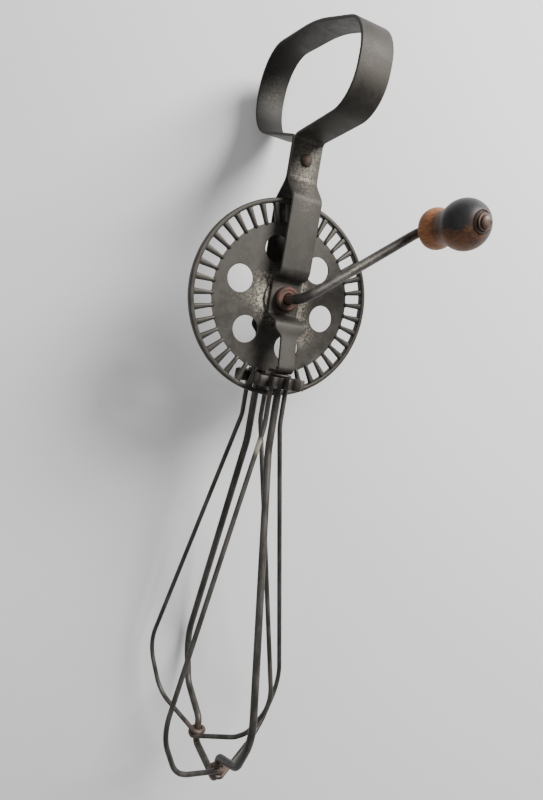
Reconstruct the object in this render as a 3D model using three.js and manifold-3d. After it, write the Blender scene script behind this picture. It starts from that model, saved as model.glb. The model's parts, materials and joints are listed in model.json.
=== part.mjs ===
// Hand-cranked rotary egg beater. Millimetres, +Z up along the tool, front (crank side) towards -Y.
// Heights are written from the wheel axis, then the whole assembly is lowered so that the origin sits
// at the hanging point under the top of the handle loop.
import * as THREE from 'three';
import Module from 'manifold-3d';
import { mergeVertices } from 'three/addons/utils/BufferGeometryUtils.js';

// ---- clearances ----
const GAP = 0.3;

// ---- wheel ----
const WHEEL_TEETH = 40;
const WHEEL_RADIUS = 39;
const WHEEL_HALF = 0.4;
const RIM_INNER = 37.1;
const RIM_HALF = 1.5;
const RIM_ROUND = 0.6;
const WINDOW_INNER = 29.8;
const WINDOW_OUTER = 37.2;
const WINDOW_WIDTH = 3.3;
const RIB_WIDTH = 1.5;
const RIB_HALF = 1.2;
const RIB_START = 29.4;
const HOLE_COUNT = 6;
const HOLE_CIRCLE = 19.7;
const HOLE_RADIUS = 5.4;
const HOLE_PHASE = 45;
const WHEEL_TURN = 1;

// ---- hub ----
const ROD_RADIUS = 1.95;
const SLEEVE_RADIUS = 3.0;
const SLEEVE_BACK = 3.6;
const COLLAR_RADIUS = 4.9;
const COLLAR_FRONT = -6.4;
const HUB_WASHER_RADIUS = 8.2;
const HUB_WASHER_IN = 0.7;
const HUB_WASHER_OUT = 1.4;
const REAR_WASHER_RADIUS = 5.0;
const REAR_WASHER_THICK = 0.8;
const ROD_HEAD_RADIUS = 3.3;
const ROD_HEAD_HIGH = 1.4;

// ---- crank and knob ----
const CRANK_RADIUS = 56;
const CRANK_ANGLE = 38.7;
const ARM_ROOT_Y = -18.5;
const ARM_END_Y = -23.4;
const ARM_BEND = 7;
const KNOB_BEND = 4.4;
const KNOB_BASE_Y = -30;
const KNOB_LENGTH = 27;
const KNOB_BORE = ROD_RADIUS + GAP;
const KNOB_COLLAR = 7.9;
const KNOB_NECK = 6.5;
const BALL_RADIUS = 9.3;
const BALL_CENTRE = 18;
const BALL_FLAT = 4.6;
const BALL_LIP = 3.6;
const END_WASHER_RADIUS = 3.1;
const END_WASHER_THICK = 0.6;

// ---- frame band (one bent strap) ----
const BAND_WIDTH = 13;
const BAND_THICK = 1.2;
const FOOT_WIDTH = 7;
const FOOT_TOP = -14.6;
const BAND_LAYER = 0.75;
const SHANK_LOW = 46.3;
const SHANK_TOP = 62.8;
const STAND_OFF = 7.9;
const SHOULDER = 38.9;
const HUB_STEP_HIGH = 8.6;
const HUB_STEP_LOW = 8;
const HUB_LAYER = 2.4;
const LEG_TOP = -6.8;
const LEG_STEP = [10.6, -9.4];
const LEG_OUT = 13.9;
const TAB_Z = -28.4;
const TAB_END = 6.4;
const BAND_BENDS = [1.8, 2.2, 1.8, 1.2, 3.6, 4, 5, 2.2];
const RIVET_Z = 54.4;
const RIVET_RADIUS = 1.9;
const RIVET_HEAD = 2.9;
const RIVET_HIGH = 1.1;

// ---- handle loop corners: across the tool (Y) and up (Z), with the bend radius of each ----
const LOOP_BACK_LOW = [47.5, 75.5];
const LOOP_BACK_TOP = [42.8, 109.1];
const LOOP_CROWN = [-2, 104.6];
const LOOP_FRONT_TOP = [-40.5, 91.6];
const LOOP_FRONT_LOW = [-39.5, 64.8];
const LOOP_BENDS = [19, 16, 90, 16, 13];
const HANG_Z = 103.2;

// ---- pinions ----
const PINION_TEETH = 10;
const PINION_OFFSET = 10.2;
const EYE_OFFSET = 12.7;
const PINION_TIP = 9.9;
const PINION_ROOT = 6.8;
const TOOTH_TIP_HALF = 0.65;
const TOOTH_ROOT_HALF = 1.3;
const PINION_TOP = -30.4;
const PINION_LOW = -34.8;
const THRUST_RADIUS = 4.4;
const WIRE_SEAT = 4.6;

// ---- stationary frame wire ----
const AXLE_RADIUS = 1.5;
const AXLE_HEAD_RADIUS = 2.3;
const AXLE_HEAD_HIGH = 1.3;
const BOW_START = -60;
const BOW_WIDE_Z = -164.5;
const BOW_LOW_Z = -182;
const BOW_FRONT = 25;
const BOW_BACK = 27;
const BOW_LOW_SHARE = 0.66;
const BOW_BACK_TURN = 2;
const BOW_RETURN = -189;
const FOOT_CROSS = -199.4;

// ---- dashers ----
const WIRE_RADIUS = 1.0;
const DASH_START = -50;
const DASH_WIDE = [33.4, -166.5];
const DASH_LOW = [23.4, -186.6];
const DASH_BENDS = [18, 22, 16];
const EYE_Z = -194.6;
const EYE_RADIUS = AXLE_RADIUS + GAP + 0.1 + WIRE_RADIUS;
const EYE_RISE = 2.5;
const FRONT_PHASE = 23;
const BACK_PHASE = -55;

// ---- facets ----
const RING_SEG = 28;
const WIRE_SEG = 8;
const EYE_STEPS = 16;

const wasm = await Module();
wasm.setup();

const rad = (degrees) => degrees * Math.PI / 180;

// The two dasher axes lean apart: they cross their pinions at PINION_OFFSET and their eyes at EYE_OFFSET.
const PINION_MIDDLE = (PINION_TOP + PINION_LOW) / 2;
const lean = Math.atan2(EYE_OFFSET - PINION_OFFSET, PINION_MIDDLE - EYE_Z);

// Carries a shape drawn round an upright axis through the origin onto the leaning dasher axis of one side.
function axisPlacement(side) {
  const back = new THREE.Matrix4().makeTranslation(0, 0, -PINION_MIDDLE);
  const tilt = new THREE.Matrix4().makeRotationX(side * lean);
  const out = new THREE.Matrix4().makeTranslation(0, side * PINION_OFFSET, PINION_MIDDLE);
  return out.multiply(tilt).multiply(back);
}

function toManifold(geometry) {
  const bare = geometry.clone();
  bare.deleteAttribute('normal');
  bare.deleteAttribute('uv');
  const merged = mergeVertices(bare, 1e-5);
  return new wasm.Manifold(new wasm.Mesh({
    numProp: 3,
    vertProperties: new Float32Array(merged.attributes.position.array),
    triVerts: new Uint32Array(merged.index.array),
  }));
}

function toGeometry(manifold) {
  const mesh = manifold.getMesh();
  const geometry = new THREE.BufferGeometry();
  geometry.setAttribute('position', new THREE.BufferAttribute(new Float32Array(mesh.vertProperties), 3));
  geometry.setIndex(new THREE.BufferAttribute(new Uint32Array(mesh.triVerts), 1));
  const flat = geometry.toNonIndexed();
  flat.computeVertexNormals();
  return flat;
}

// A straight-sided line of corners with a true arc of the given radius at each inner corner.
function filleted(corners, radii, arcSteps) {
  const path = [corners[0].clone()];
  for (let i = 1; i < corners.length - 1; i += 1) {
    const corner = corners[i];
    const back = corners[i - 1].clone().sub(corner).normalize();
    const ahead = corners[i + 1].clone().sub(corner).normalize();
    const half = back.angleTo(ahead) / 2;
    const radius = radii[i - 1];
    const reach = radius / Math.tan(half);
    const axis = back.clone().add(ahead).normalize();
    const centre = corner.clone().addScaledVector(axis, radius / Math.sin(half));
    const from = corner.clone().addScaledVector(back, reach).sub(centre);
    const to = corner.clone().addScaledVector(ahead, reach).sub(centre);
    const sweep = Math.PI - 2 * half;
    for (let k = 0; k <= arcSteps; k += 1) {
      const t = k / arcSteps;
      const a = Math.sin((1 - t) * sweep) / Math.sin(sweep);
      const b = Math.sin(t * sweep) / Math.sin(sweep);
      path.push(centre.clone().addScaledVector(from, a).addScaledVector(to, b));
    }
  }
  path.push(corners[corners.length - 1].clone());
  return path;
}

// A route through a list of points. Its parameter counts the points, so that a swept tube gets one ring
// at each of them: straight runs stay one long facet and bends get the fine ones.
class Route extends THREE.Curve {
  constructor(points) {
    super();
    this.points = points;
  }

  getPoint(t, target = new THREE.Vector3()) {
    const last = this.points.length - 1;
    const place = THREE.MathUtils.clamp(t, 0, 1) * last;
    const index = Math.min(Math.floor(place), last - 1);
    return target.copy(this.points[index]).lerp(this.points[index + 1], place - index);
  }

  getUtoTmapping(u) {
    return u;
  }
}

function circleShape(radius, segments) {
  const shape = new THREE.Shape();
  for (let i = 0; i < segments; i += 1) {
    const angle = 2 * Math.PI * i / segments;
    const point = [radius * Math.cos(angle), radius * Math.sin(angle)];
    if (i === 0) {
      shape.moveTo(...point);
    } else {
      shape.lineTo(...point);
    }
  }
  shape.closePath();
  return shape;
}

function tube(points, radius, sides = WIRE_SEG) {
  return new THREE.ExtrudeGeometry(circleShape(radius, sides), {
    steps: points.length - 1,
    extrudePath: new Route(points),
    bevelEnabled: false,
  });
}

// A turned piece about the Z axis from [radius, height] pairs going round the section.
function turned(section, segments = RING_SEG) {
  const closed = [...section, section[0]].map(([r, h]) => new THREE.Vector2(r, h));
  const lathe = new THREE.LatheGeometry(closed, segments);
  return lathe.rotateX(Math.PI / 2);
}

function ring(inner, outer, low, high) {
  return turned([[inner, low], [outer, low], [outer, high], [inner, high]]);
}

function plug(radius, low, high) {
  return turned([[0, low], [radius, low], [radius, high], [0, high]]);
}

// Stands a piece turned about Z so that its heights run along -Y.
const alongFront = (geometry) => geometry.rotateX(Math.PI / 2);

function shapeFrom(points) {
  return new THREE.Shape(points.map(([a, b]) => new THREE.Vector2(a, b)));
}

// ---- colours of the bare CAD ----
const steel = { color: 0x6b665f, metalness: 0.8, roughness: 0.5 };
const bright = { color: 0x9a958c, metalness: 0.85, roughness: 0.4 };
const wood = { color: 0x2a211b, metalness: 0.0, roughness: 0.45 };

const assembly = new THREE.Group();
assembly.name = 'egg_beater';

function addPart(name, geometry, finish) {
  const placed = geometry.clone();
  placed.translate(0, 0, -HANG_Z);
  const mesh = new THREE.Mesh(placed, new THREE.MeshStandardMaterial(finish));
  mesh.name = name;
  assembly.add(mesh);
}

// ---- frame band ----
function bandCentre() {
  const yz = (y, z) => new THREE.Vector3(y, z, 0);
  const half = (side) => [
    yz(side * TAB_END, TAB_Z),
    yz(side * LEG_OUT, TAB_Z),
    yz(side * LEG_STEP[0], LEG_STEP[1]),
    yz(side * HUB_LAYER, LEG_TOP),
    yz(side * HUB_LAYER, HUB_STEP_LOW),
    yz(side * STAND_OFF, HUB_STEP_HIGH),
    yz(side * STAND_OFF, SHOULDER),
    yz(side * BAND_LAYER, SHANK_LOW),
    yz(side * BAND_LAYER, SHANK_TOP),
  ];
  const loop = [LOOP_FRONT_LOW, LOOP_FRONT_TOP, LOOP_CROWN, LOOP_BACK_TOP, LOOP_BACK_LOW].map(([y, z]) => yz(y, z));
  const corners = [...half(-1), ...loop, ...half(1).reverse()];
  const radii = [...BAND_BENDS, ...[...LOOP_BENDS].reverse(), ...[...BAND_BENDS].reverse()];
  return filleted(corners, radii, 4);
}

function bandGeometry() {
  const centre = bandCentre();
  const left = [];
  const right = [];
  centre.forEach((point, i) => {
    const before = centre[Math.max(i - 1, 0)];
    const after = centre[Math.min(i + 1, centre.length - 1)];
    const along = after.clone().sub(before).normalize();
    const offset = BAND_THICK / 2;
    left.push([point.x - along.y * offset, point.y + along.x * offset]);
    right.push([point.x + along.y * offset, point.y - along.x * offset]);
  });
  const strap = new THREE.ExtrudeGeometry(shapeFrom([...left, ...right.reverse()]), {
    depth: BAND_WIDTH,
    bevelEnabled: false,
  });
  strap.translate(0, 0, -BAND_WIDTH / 2);
  const turn = new THREE.Matrix4().makeBasis(
    new THREE.Vector3(0, 1, 0),
    new THREE.Vector3(0, 0, 1),
    new THREE.Vector3(1, 0, 0),
  );
  strap.applyMatrix4(turn);
  let body = toManifold(strap);
  const cut = (geometry) => {
    body = body.subtract(toManifold(geometry));
  };
  const reach = 3 * STAND_OFF;
  cut(alongFront(plug(RIVET_RADIUS + GAP, -reach, reach)).translate(0, 0, RIVET_Z));
  cut(alongFront(plug(SLEEVE_RADIUS + GAP, -reach, reach)));
  for (const side of [-1, 1]) {
    cut(plug(AXLE_RADIUS + GAP, TAB_Z - 3, TAB_Z + 3).translate(0, side * PINION_OFFSET, 0));
    const trim = (BAND_WIDTH - FOOT_WIDTH) / 2;
    const flank = new THREE.ExtrudeGeometry(shapeFrom([
      [0, FOOT_TOP],
      [-trim - 1, FOOT_TOP + trim + 1],
      [-trim - 1, TAB_Z - 3],
      [0, TAB_Z - 3],
    ]), { depth: 2 * reach, bevelEnabled: false });
    flank.translate(-FOOT_WIDTH / 2, 0, -reach);
    flank.rotateX(Math.PI / 2);
    if (side > 0) {
      flank.rotateZ(Math.PI);
    }
    cut(flank);
  }
  return toGeometry(body);
}

// ---- wheel ----
function wheelGeometry() {
  const disc = circleShape(RIM_INNER + RIM_ROUND, 2 * WHEEL_TEETH);
  for (let i = 0; i < WHEEL_TEETH; i += 1) {
    const angle = rad(270 + i * 360 / WHEEL_TEETH);
    const place = (r, s) => new THREE.Vector2(
      r * Math.cos(angle) - s * Math.sin(angle),
      r * Math.sin(angle) + s * Math.cos(angle),
    );
    const side = WINDOW_WIDTH / 2;
    disc.holes.push(new THREE.Path([
      place(WINDOW_INNER, side),
      place(WINDOW_INNER, -side),
      place(WINDOW_OUTER, -side),
      place(WINDOW_OUTER, side),
    ]));
  }
  for (let i = 0; i < HOLE_COUNT; i += 1) {
    const angle = rad(HOLE_PHASE + i * 360 / HOLE_COUNT);
    const ringPath = circleShape(HOLE_RADIUS, 20).getPoints().reverse();
    disc.holes.push(new THREE.Path(ringPath.map((p) => new THREE.Vector2(
      p.x + HOLE_CIRCLE * Math.cos(angle),
      p.y + HOLE_CIRCLE * Math.sin(angle),
    ))));
  }
  disc.holes.push(new THREE.Path(circleShape(SLEEVE_RADIUS + GAP, 24).getPoints().reverse()));
  const plate = new THREE.ExtrudeGeometry(disc, { depth: 2 * WHEEL_HALF, bevelEnabled: false });
  plate.translate(0, 0, -WHEEL_HALF);
  plate.rotateX(Math.PI / 2);
  let body = toManifold(plate);
  const rim = turned([
    [RIM_INNER, -RIM_HALF],
    [WHEEL_RADIUS - RIM_ROUND, -RIM_HALF],
    [WHEEL_RADIUS, RIM_ROUND - RIM_HALF],
    [WHEEL_RADIUS, RIM_HALF - RIM_ROUND],
    [WHEEL_RADIUS - RIM_ROUND, RIM_HALF],
    [RIM_INNER, RIM_HALF],
  ], 2 * WHEEL_TEETH);
  body = body.add(toManifold(alongFront(rim)));
  const wide = RIB_WIDTH / 2;
  const ribShape = shapeFrom([[wide, -RIB_HALF], [wide, RIB_HALF], [-wide, RIB_HALF], [-wide, -RIB_HALF]]);
  for (let i = 0; i < WHEEL_TEETH; i += 1) {
    const rib = new THREE.ExtrudeGeometry(ribShape, {
      depth: RIM_INNER + RIM_ROUND - RIB_START,
      bevelEnabled: false,
    });
    rib.translate(0, 0, RIB_START);
    rib.rotateY(rad((i + 0.5) * 360 / WHEEL_TEETH));
    body = body.add(toManifold(rib));
  }
  return toGeometry(body).rotateY(-rad(WHEEL_TURN));
}

// ---- crank ----
const armX = CRANK_RADIUS * Math.cos(rad(CRANK_ANGLE));
const armZ = CRANK_RADIUS * Math.sin(rad(CRANK_ANGLE));
const knobEnd = KNOB_BASE_Y - KNOB_LENGTH;
const headStart = knobEnd - 2 * GAP - END_WASHER_THICK;
const rearWasherIn = SLEEVE_BACK + GAP;
const rearHeadStart = rearWasherIn + REAR_WASHER_THICK + GAP;

function domeSection(radius, high) {
  return [[0, 0], [radius, 0], [radius * 0.96, high * 0.45], [radius * 0.6, high * 0.9], [0, high]];
}

function crankGeometry() {
  const corners = [
    new THREE.Vector3(0, rearHeadStart + 0.2, 0),
    new THREE.Vector3(0, ARM_ROOT_Y, 0),
    new THREE.Vector3(armX, ARM_END_Y, armZ),
    new THREE.Vector3(armX, headStart - 0.2, armZ),
  ];
  const rod = tube(filleted(corners, [ARM_BEND, KNOB_BEND], 7), ROD_RADIUS, WIRE_SEG + 2);
  const rear = turned(domeSection(ROD_HEAD_RADIUS, ROD_HEAD_HIGH), 24).rotateX(-Math.PI / 2);
  rear.translate(0, rearHeadStart, 0);
  const tip = turned(domeSection(ROD_HEAD_RADIUS - 0.4, ROD_HEAD_HIGH), 24).rotateX(Math.PI / 2);
  tip.translate(armX, headStart, armZ);
  return toGeometry(toManifold(rod).add(toManifold(rear)).add(toManifold(tip)));
}

function knobGeometry() {
  const section = [
    [KNOB_BORE, 0],
    [KNOB_COLLAR - 1.6, 0],
    [KNOB_COLLAR - 0.4, 0.9],
    [KNOB_COLLAR, 2.5],
    [KNOB_COLLAR - 0.2, 4.4],
    [KNOB_COLLAR - 0.9, 6],
    [KNOB_NECK, 8.2],
  ];
  const first = -Math.acos((KNOB_NECK + 0.6) / BALL_RADIUS);
  const last = Math.acos(BALL_FLAT / BALL_RADIUS);
  for (let k = 0; k <= 10; k += 1) {
    const angle = first + (last - first) * k / 10;
    section.push([BALL_RADIUS * Math.cos(angle), BALL_CENTRE + BALL_RADIUS * Math.sin(angle)]);
  }
  section.push([BALL_LIP, KNOB_LENGTH]);
  section.push([KNOB_BORE, KNOB_LENGTH]);
  return alongFront(turned(section, RING_SEG)).translate(armX, KNOB_BASE_Y, armZ);
}

// ---- pinions ----
function pinionGeometry(side, phase) {
  const outline = [];
  for (let i = 0; i < PINION_TEETH; i += 1) {
    const meshed = WHEEL_TURN * WHEEL_TEETH / PINION_TEETH - 90;
    const angle = rad(meshed * side + i * 360 / PINION_TEETH);
    const place = (r, s) => outline.push([
      r * Math.cos(angle) - s * Math.sin(angle),
      r * Math.sin(angle) + s * Math.cos(angle),
    ]);
    const shoulder = PINION_TIP - 0.5;
    place(PINION_ROOT, -TOOTH_ROOT_HALF);
    place(shoulder, -TOOTH_TIP_HALF);
    place(PINION_TIP, 0.35 - TOOTH_TIP_HALF);
    place(PINION_TIP, TOOTH_TIP_HALF - 0.35);
    place(shoulder, TOOTH_TIP_HALF);
    place(PINION_ROOT, TOOTH_ROOT_HALF);
  }
  const disc = shapeFrom(outline);
  disc.holes.push(new THREE.Path(circleShape(AXLE_RADIUS + GAP, 20).getPoints().reverse()));
  for (const end of [0, 180]) {
    const angle = rad(phase + end);
    const seat = circleShape(WIRE_RADIUS + GAP, 14).getPoints().reverse();
    disc.holes.push(new THREE.Path(seat.map((p) => new THREE.Vector2(
      p.x + WIRE_SEAT * Math.cos(angle),
      p.y + WIRE_SEAT * Math.sin(angle),
    ))));
  }
  const gear = new THREE.ExtrudeGeometry(disc, { depth: PINION_TOP - PINION_LOW, bevelEnabled: false });
  return gear.translate(0, 0, PINION_LOW).applyMatrix4(axisPlacement(side));
}

// ---- dasher: one wire with a full-turn eye at its lowest point ----
function dasherPath() {
  const leg = filleted([
    new THREE.Vector3(WIRE_SEAT, 0, PINION_TOP - GAP),
    new THREE.Vector3(WIRE_SEAT, 0, DASH_START),
    new THREE.Vector3(DASH_WIDE[0], 0, DASH_WIDE[1]),
    new THREE.Vector3(DASH_LOW[0], 0, DASH_LOW[1]),
    new THREE.Vector3(0, 0, EYE_Z),
  ], DASH_BENDS, 8);
  const down = leg.slice(0, -1);
  const eye = [];
  for (let k = 0; k <= EYE_STEPS; k += 1) {
    const turn = -Math.PI / 2 + 2 * Math.PI * k / EYE_STEPS;
    eye.push(new THREE.Vector3(
      EYE_RADIUS * Math.cos(turn),
      EYE_RADIUS * Math.sin(turn),
      EYE_Z + EYE_RISE * (0.5 - k / EYE_STEPS),
    ));
  }
  const blend = (point, side) => {
    const near = THREE.MathUtils.clamp(1 - point.x / DASH_LOW[0], 0, 1);
    const sink = point.z < DASH_LOW[1] ? near : 0;
    const drop = point.z < DASH_WIDE[1] ? -EYE_RADIUS * near : 0;
    return new THREE.Vector3(side * point.x, drop, point.z - side * sink * EYE_RISE / 2);
  };
  const left = down.map((point) => blend(point, -1));
  const right = down.map((point) => blend(point, 1)).reverse();
  return [...left, ...eye, ...right];
}

function dasherGeometry(side, phase) {
  const wire = tube(dasherPath(), WIRE_RADIUS).rotateZ(rad(phase));
  return wire.applyMatrix4(axisPlacement(side));
}

// ---- stationary wire ----
function frameWirePath() {
  const branch = (side, bow, turnBy) => {
    const placement = axisPlacement(side);
    const out = (s, z) => new THREE.Vector3(
      -s * Math.sin(rad(turnBy)),
      side * s * Math.cos(rad(turnBy)),
      z,
    ).applyMatrix4(placement);
    return [
      out(0, TAB_Z + BAND_THICK / 2 + GAP + 0.2),
      out(0, BOW_START),
      out(bow, BOW_WIDE_Z),
      out(bow * BOW_LOW_SHARE, BOW_LOW_Z),
      out(0, BOW_RETURN),
      out(0, FOOT_CROSS),
    ];
  };
  const corners = [...branch(-1, BOW_FRONT, 0), ...branch(1, BOW_BACK, BOW_BACK_TURN).reverse()];
  const bends = [30, 22, 9, 3.4, 3.2];
  return filleted(corners, [...bends, ...[...bends].reverse()], 7);
}

function frameWireGeometry() {
  let body = toManifold(tube(frameWirePath(), AXLE_RADIUS));
  for (const side of [-1, 1]) {
    const head = turned(domeSection(AXLE_HEAD_RADIUS, AXLE_HEAD_HIGH), 20);
    head.translate(0, side * PINION_OFFSET, TAB_Z + BAND_THICK / 2 + GAP);
    body = body.add(toManifold(head));
  }
  return toGeometry(body);
}

function rivetGeometry() {
  const grip = BAND_LAYER + BAND_THICK / 2 + GAP;
  const high = RIVET_HIGH;
  const rivet = turned([
    [0, -grip - high],
    [RIVET_HEAD * 0.65, -grip - high * 0.85],
    [RIVET_HEAD, -grip - high * 0.3],
    [RIVET_HEAD, -grip],
    [RIVET_RADIUS, -grip],
    [RIVET_RADIUS, grip],
    [RIVET_HEAD, grip],
    [RIVET_HEAD, grip + high * 0.3],
    [RIVET_HEAD * 0.65, grip + high * 0.85],
    [0, grip + high],
  ], 28);
  return alongFront(rivet).translate(0, 0, RIVET_Z);
}

function sleeveGeometry() {
  const flangeIn = HUB_LAYER + BAND_THICK / 2 + GAP;
  const bore = ROD_RADIUS + GAP;
  return alongFront(turned([
    [bore, -SLEEVE_BACK],
    [SLEEVE_RADIUS, -SLEEVE_BACK],
    [SLEEVE_RADIUS, flangeIn],
    [COLLAR_RADIUS, flangeIn],
    [COLLAR_RADIUS, -COLLAR_FRONT - 0.8],
    [COLLAR_RADIUS - 0.8, -COLLAR_FRONT],
    [bore, -COLLAR_FRONT],
  ]));
}

addPart('frame_band', bandGeometry(), steel);
addPart('shank_rivet', rivetGeometry(), steel);
addPart('frame_wire', frameWireGeometry(), steel);
addPart('gear_wheel', wheelGeometry(), steel);
addPart('hub_sleeve', sleeveGeometry(), { color: 0x80604e, metalness: 0.7, roughness: 0.55 });
const washerBore = SLEEVE_RADIUS + GAP;
addPart('front_hub_washer', alongFront(ring(washerBore, HUB_WASHER_RADIUS, HUB_WASHER_IN, HUB_WASHER_OUT)), bright);
addPart('back_hub_washer', alongFront(ring(washerBore, HUB_WASHER_RADIUS, -HUB_WASHER_OUT, -HUB_WASHER_IN)), bright);
const rearRing = ring(ROD_RADIUS + GAP, REAR_WASHER_RADIUS, -rearWasherIn - REAR_WASHER_THICK, -rearWasherIn);
addPart('rear_washer', alongFront(rearRing), bright);
addPart('crank_rod', crankGeometry(), steel);
addPart('knob', knobGeometry(), wood);
const endRing = alongFront(ring(KNOB_BORE, END_WASHER_RADIUS, GAP, GAP + END_WASHER_THICK));
addPart('knob_end_washer', endRing.translate(armX, knobEnd, armZ), bright);
for (const [label, side, phase] of [['front', -1, FRONT_PHASE], ['back', 1, BACK_PHASE]]) {
  addPart(`${label}_pinion`, pinionGeometry(side, phase), steel);
  addPart(`${label}_dasher_wire`, dasherGeometry(side, phase), steel);
  const thrust = ring(AXLE_RADIUS + GAP, THRUST_RADIUS, PINION_TOP + GAP, TAB_Z - BAND_THICK / 2 - GAP);
  addPart(`${label}_thrust_washer`, thrust.translate(0, side * PINION_OFFSET, 0), bright);
}

export default assembly;
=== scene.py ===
import json
import math

import bmesh
import bpy
from mathutils import Matrix, Vector


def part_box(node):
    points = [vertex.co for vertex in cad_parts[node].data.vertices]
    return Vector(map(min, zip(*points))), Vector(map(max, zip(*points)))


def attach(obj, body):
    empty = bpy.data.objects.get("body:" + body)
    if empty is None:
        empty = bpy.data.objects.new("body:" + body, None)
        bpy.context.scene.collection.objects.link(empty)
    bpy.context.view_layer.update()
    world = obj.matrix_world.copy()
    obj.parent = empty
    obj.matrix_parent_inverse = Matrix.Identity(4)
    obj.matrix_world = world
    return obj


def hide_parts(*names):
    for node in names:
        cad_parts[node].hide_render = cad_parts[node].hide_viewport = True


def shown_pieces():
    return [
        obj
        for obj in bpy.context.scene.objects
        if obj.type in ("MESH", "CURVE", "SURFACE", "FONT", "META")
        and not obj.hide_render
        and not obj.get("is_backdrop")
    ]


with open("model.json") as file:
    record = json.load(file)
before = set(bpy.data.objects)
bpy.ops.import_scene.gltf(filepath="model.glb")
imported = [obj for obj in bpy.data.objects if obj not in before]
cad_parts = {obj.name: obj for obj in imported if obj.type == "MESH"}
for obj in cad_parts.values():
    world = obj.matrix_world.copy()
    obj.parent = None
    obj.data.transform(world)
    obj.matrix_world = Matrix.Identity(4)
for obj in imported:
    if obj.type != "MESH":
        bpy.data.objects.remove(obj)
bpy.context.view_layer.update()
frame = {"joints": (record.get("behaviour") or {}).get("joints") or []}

bl_info = {
    "name": "Hand Cranked Egg Beater",
    "version": (1, 0, 0),
    "blender": (4, 5, 0),
    "location": "View3D > Sidebar > Egg Beater",
    "description": "Builds the bent strap, wheel, crank, knob and wires of a rotary egg beater",
    "category": "Add Mesh",
}

MM = 0.001
JOINTS = {joint["name"]: joint for joint in frame["joints"]}
HUB = Vector(JOINTS["crank_turn"]["pos_m"])
KNOB_CENTRE = Vector(JOINTS["knob_spin"]["pos_m"])
SIDES = {"front": -1, "back": 1}
PLAY = 0.3 * MM
PINION_TEETH = 10
TAB_LEVEL = -28.4
RIVET_RADIUS = 1.9 * MM
HUB_HOLE = 3.3 * MM
EYE_LEVEL = -194.6
WIDE_LEVEL = -166.5
DASHER_PHASES = {"front": 23, "back": -55}


def nearest(node):
    """How far in front of the wheel a CAD node starts, and how far back it ends."""
    low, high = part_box(node)
    return low.y - HUB.y, high.y - HUB.y


# ---------------------------------------------------------------- sizes and colours


def length(label, about, value, low=0.0):
    """A length that a user may change, in metres."""
    return bpy.props.FloatProperty(
        name=label, description=about, default=value, min=low, subtype="DISTANCE", unit="LENGTH", precision=5
    )


def tint(label, about, red, green, blue):
    """A colour given as screen values from 0 to 255."""
    def linear(value):
        share = value / 255
        return share / 12.92 if share <= 0.04045 else ((share + 0.055) / 1.055) ** 2.4

    return bpy.props.FloatVectorProperty(
        name=label,
        description=about,
        default=(linear(red), linear(green), linear(blue)),
        subtype="COLOR",
        min=0.0,
        max=1.0,
    )


class BeaterStrapSizes(bpy.types.PropertyGroup):
    width: length("Width", "Width of the strap round the handle", 13 * MM)
    foot_width: length("Foot Width", "Width of the two legs under the hub", 7 * MM)
    thickness: length("Thickness", "Thickness of the strap", 1.2 * MM)
    edge: length("Edge Round", "Rounding of the strap's long edges", 0.45 * MM)
    rivet: length("Rivet Head", "Radius of the rivet's heads", 2.3 * MM)


class BeaterWheelSizes(bpy.types.PropertyGroup):
    teeth: bpy.props.IntProperty(name="Teeth", description="Windows round the wheel", default=40, min=3)
    radius: length("Radius", "Outside radius of the rim", 39 * MM)
    rim_inner: length("Rim Inside", "Inside radius of the rim", 37.1 * MM)
    rim_half: length("Rim Half Depth", "Half the rim's depth along the axle", 1.5 * MM)
    rim_round: length("Rim Round", "Rounding of the rim's corners", 0.62 * MM)
    plate_half: length("Plate Half", "Half the thickness of the plate", 0.4 * MM)
    window_inner: length("Window Start", "Where a window starts", 29.8 * MM)
    window_width: length("Window Width", "Width of a window", 3.3 * MM)
    window_round: length("Window Round", "Rounding of a window's corners", 0.7 * MM)
    rib_width: length("Rib Width", "Width of a rib", 1.5 * MM)
    rib_half: length("Rib Half Depth", "Half the depth of a rib", 1.2 * MM)
    hole_count: bpy.props.IntProperty(name="Holes", description="Round holes in the plate", default=6, min=0)
    hole_circle: length("Hole Circle", "Radius of the circle that the holes stand on", 19.7 * MM)
    hole_radius: length("Hole Radius", "Radius of a hole", 5.4 * MM)
    hole_turn: bpy.props.FloatProperty(
        name="Hole Turn", description="Turn of the first hole", default=math.radians(45),
        subtype="ANGLE", unit="ROTATION"
    )
    bore: length("Bore", "Radius of the bore", HUB_HOLE)
    turn: bpy.props.FloatProperty(
        name="Turn", description="How far the wheel is turned at rest", default=math.radians(1),
        subtype="ANGLE", unit="ROTATION"
    )


class BeaterWireSizes(bpy.types.PropertyGroup):
    frame_radius: length("Frame Wire", "Radius of the fixed wire", 1.5 * MM)
    dasher_radius: length("Dasher Wire", "Radius of a dasher's wire", 1.0 * MM)
    rod_radius: length("Crank Rod", "Radius of the crank's rod", 1.95 * MM)
    eye_radius: length("Eye", "Radius of a dasher's eye, to the wire's middle", 2.9 * MM)
    pinion_tip: length("Pinion Tip", "Outside radius of a pinion", 9.9 * MM)
    pinion_root: length("Pinion Root", "Radius at the foot of a pinion's teeth", 6.8 * MM)
    sides: bpy.props.IntProperty(name="Sides", description="Facets round a wire", default=20, min=6)


class BeaterKnobSizes(bpy.types.PropertyGroup):
    collar: length("Collar", "Radius of the collar", 7.9 * MM)
    neck: length("Neck", "Radius of the neck", 6.5 * MM)
    ball: length("Ball", "Radius of the ball", 9.3 * MM)
    ball_centre: length("Ball Centre", "How far the ball's centre is from the collar's end", 18 * MM)
    tall: length("Length", "Length of the knob", 27 * MM)


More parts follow.
